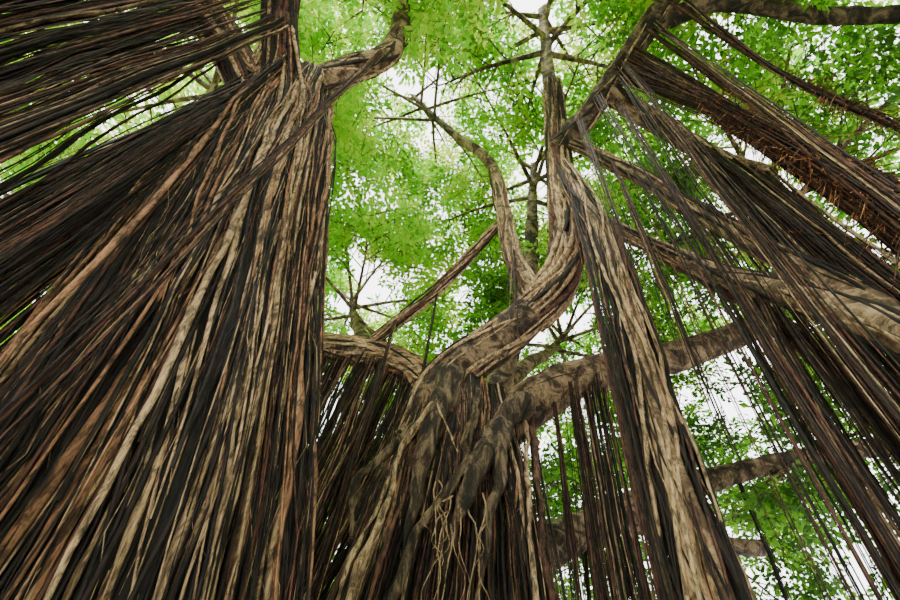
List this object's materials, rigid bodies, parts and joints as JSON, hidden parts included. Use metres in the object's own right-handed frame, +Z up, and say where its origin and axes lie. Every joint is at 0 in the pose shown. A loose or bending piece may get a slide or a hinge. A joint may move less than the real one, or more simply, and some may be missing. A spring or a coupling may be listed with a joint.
{
  "type": "banyan tree",
  "caption": "Whole spreading fig tree: fluted trunk, second stem of fused aerial roots, wide boughs, hanging root curtains, pillar and prop roots, and a broad domed leafy crown.",
  "frame": {"origin": "middle of the trunk's flat cut at ground level", "axes": "+Z up; +Y is the way the picture's camera heads, from under the crown to the trunk; +X to that camera's right"},
  "size_m": [27.7147, 28.2253, 16.7957],
  "materials": {
    "bark": "rough, fissured",
    "root": "fibrous, matt",
    "pale_root": "smooth bark, matt",
    "leaf": "leathery, satin"
  },
  "bodies": {
    "root": {"bough_back": "bark", "bough_back_left": "bark", "bough_back_rising": "bark", "bough_crossing": "bark", "bough_drooping": "bark", "bough_front_fork": "bark", "bough_front_right": "bark", "bough_inner": "bark", "bough_left": "bark", "bough_left_rising": "bark", "bough_low": "bark", "bough_low_fork": "bark", "bough_middle": "bark", "bough_right": "bark", "bough_rising": "bark", "leaves_mid_000": "leaf", "leaves_mid_060": "leaf", "leaves_mid_120": "leaf", "leaves_mid_180": "leaf", "leaves_mid_240": "leaf", "leaves_mid_300": "leaf", "leaves_rim_015": "leaf", "leaves_rim_055": "leaf", "leaves_rim_095": "leaf", "leaves_rim_135": "leaf", "leaves_rim_175": "leaf", "leaves_rim_215": "leaf", "leaves_rim_255": "leaf", "leaves_rim_295": "leaf", "leaves_rim_335": "leaf", "leaves_top_050": "leaf", "leaves_top_170": "leaf", "leaves_top_290": "leaf", "left_stem": "bark", "pillar_root": "pale_root", "prop_root_lower": "pale_root", "prop_root_upper": "pale_root", "roots_back": "root", "roots_back_left": "root", "roots_drooping": "root", "roots_far_left": "root", "roots_front_left": "root", "roots_high_bundle": "root", "roots_left_inner": "root", "roots_left_outer": "root", "roots_low": "root", "roots_plumb": "root", "roots_slanting": "root", "roots_strut": "root", "roots_thin_lower": "root", "roots_thin_upper": "root", "roots_trunk_front": "root", "roots_trunk_left": "root", "roots_trunk_right": "root", "stem_bough_front": "bark", "stem_bough_inner": "bark", "stem_bough_outer": "bark", "stem_bough_rising": "bark", "trunk": "bark"}
  },
  "joints": []
}
